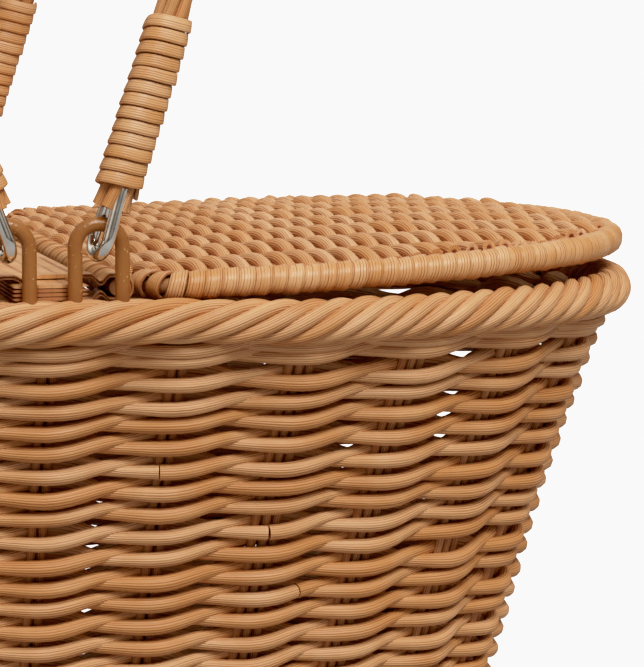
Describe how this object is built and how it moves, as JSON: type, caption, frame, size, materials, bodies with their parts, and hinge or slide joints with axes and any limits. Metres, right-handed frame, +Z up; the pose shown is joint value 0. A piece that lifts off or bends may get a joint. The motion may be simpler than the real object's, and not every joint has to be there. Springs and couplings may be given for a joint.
{
  "type": "picnic basket",
  "caption": "Oval woven reed picnic basket with a flared wall, hinged half lids and arched swing handles that fold down.",
  "frame": {"origin": "on the floor, centre of the overall box", "axes": "+Z up; X along the length of the basket; the front faces -Y"},
  "size_m": [0.4198, 0.276, 0.3987],
  "materials": {
    "reed": "satin ribbed honey tan reed",
    "stake_reed": "satin ribbed reed, shaded",
    "cane": "smooth brown cane",
    "coated_wire": "tan coated steel wire",
    "plated_wire": "bright plated steel wire"
  },
  "bodies": {
    "basket": {"base_mat": "reed", "foot_border": "reed", "wall_weave": "reed", "rim_border": "reed", "crossbar_core": "cane", "crossbar_binding": "reed", "stake_01": "stake_reed", "stake_02": "stake_reed", "stake_03": "stake_reed", "stake_04": "stake_reed", "stake_05": "stake_reed", "stake_06": "stake_reed", "stake_07": "stake_reed", "stake_08": "stake_reed", "stake_09": "stake_reed", "stake_10": "stake_reed", "stake_11": "stake_reed", "stake_12": "stake_reed", "stake_13": "stake_reed", "stake_14": "stake_reed", "stake_15": "stake_reed", "stake_16": "stake_reed", "stake_17": "stake_reed", "stake_18": "stake_reed", "stake_19": "stake_reed", "stake_20": "stake_reed", "stake_21": "stake_reed", "stake_22": "stake_reed", "stake_23": "stake_reed", "stake_24": "stake_reed", "stake_25": "stake_reed", "stake_26": "stake_reed", "stake_27": "stake_reed", "stake_28": "stake_reed", "hinge_loop_right_front": "reed", "hinge_loop_right_back": "reed", "hinge_loop_left_front": "reed", "hinge_loop_left_back": "reed", "staple_right_front": "coated_wire", "staple_right_back": "coated_wire", "staple_left_front": "coated_wire", "staple_left_back": "coated_wire"},
    "lid_right": {"lid_hinge_stick_right": "cane", "lid_frame_right": "cane", "lid_binding_right": "reed", "lid_weave_right": "reed"},
    "rings_right": {"ring_right_front": "plated_wire", "ring_right_back": "plated_wire"},
    "handle_right": {"handle_reeds_right": "reed", "handle_wrap_right_front": "reed", "handle_wrap_right_back": "reed"},
    "lid_left": {"lid_hinge_stick_left": "cane", "lid_frame_left": "cane", "lid_binding_left": "reed", "lid_weave_left": "reed"},
    "rings_left": {"ring_left_front": "plated_wire", "ring_left_back": "plated_wire"},
    "handle_left": {"handle_reeds_left": "reed", "handle_wrap_left_front": "reed", "handle_wrap_left_back": "reed"}
  },
  "joints": [
    {"name": "lid_hinge_right", "type": "hinge", "parent": "basket", "child": "lid_right", "pos_m": [0.0212, 0, 0.2029], "axis": [0, -1, 0], "range_deg": [0, 55.5]},
    {"name": "ring_swing_right", "type": "hinge", "parent": "basket", "child": "rings_right", "pos_m": [0.0135, 0, 0.2155], "axis": [0, -1, 0], "range_deg": [-47.7, 13.3]},
    {"name": "handle_rock_right", "type": "hinge", "parent": "rings_right", "child": "handle_right", "pos_m": [0.02003, 0, 0.23525], "axis": [0, -1, 0], "range_deg": [-5, 5]},
    {"name": "lid_hinge_left", "type": "hinge", "parent": "basket", "child": "lid_left", "pos_m": [-0.0212, 0, 0.2029], "axis": [0, 1, 0], "range_deg": [0, 55.5]},
    {"name": "ring_swing_left", "type": "hinge", "parent": "basket", "child": "rings_left", "pos_m": [-0.0135, 0, 0.2155], "axis": [0, 1, 0], "range_deg": [-47.7, 13.3]},
    {"name": "handle_rock_left", "type": "hinge", "parent": "rings_left", "child": "handle_left", "pos_m": [-0.02003, 0, 0.23525], "axis": [0, 1, 0], "range_deg": [-5, 5]}
  ]
}
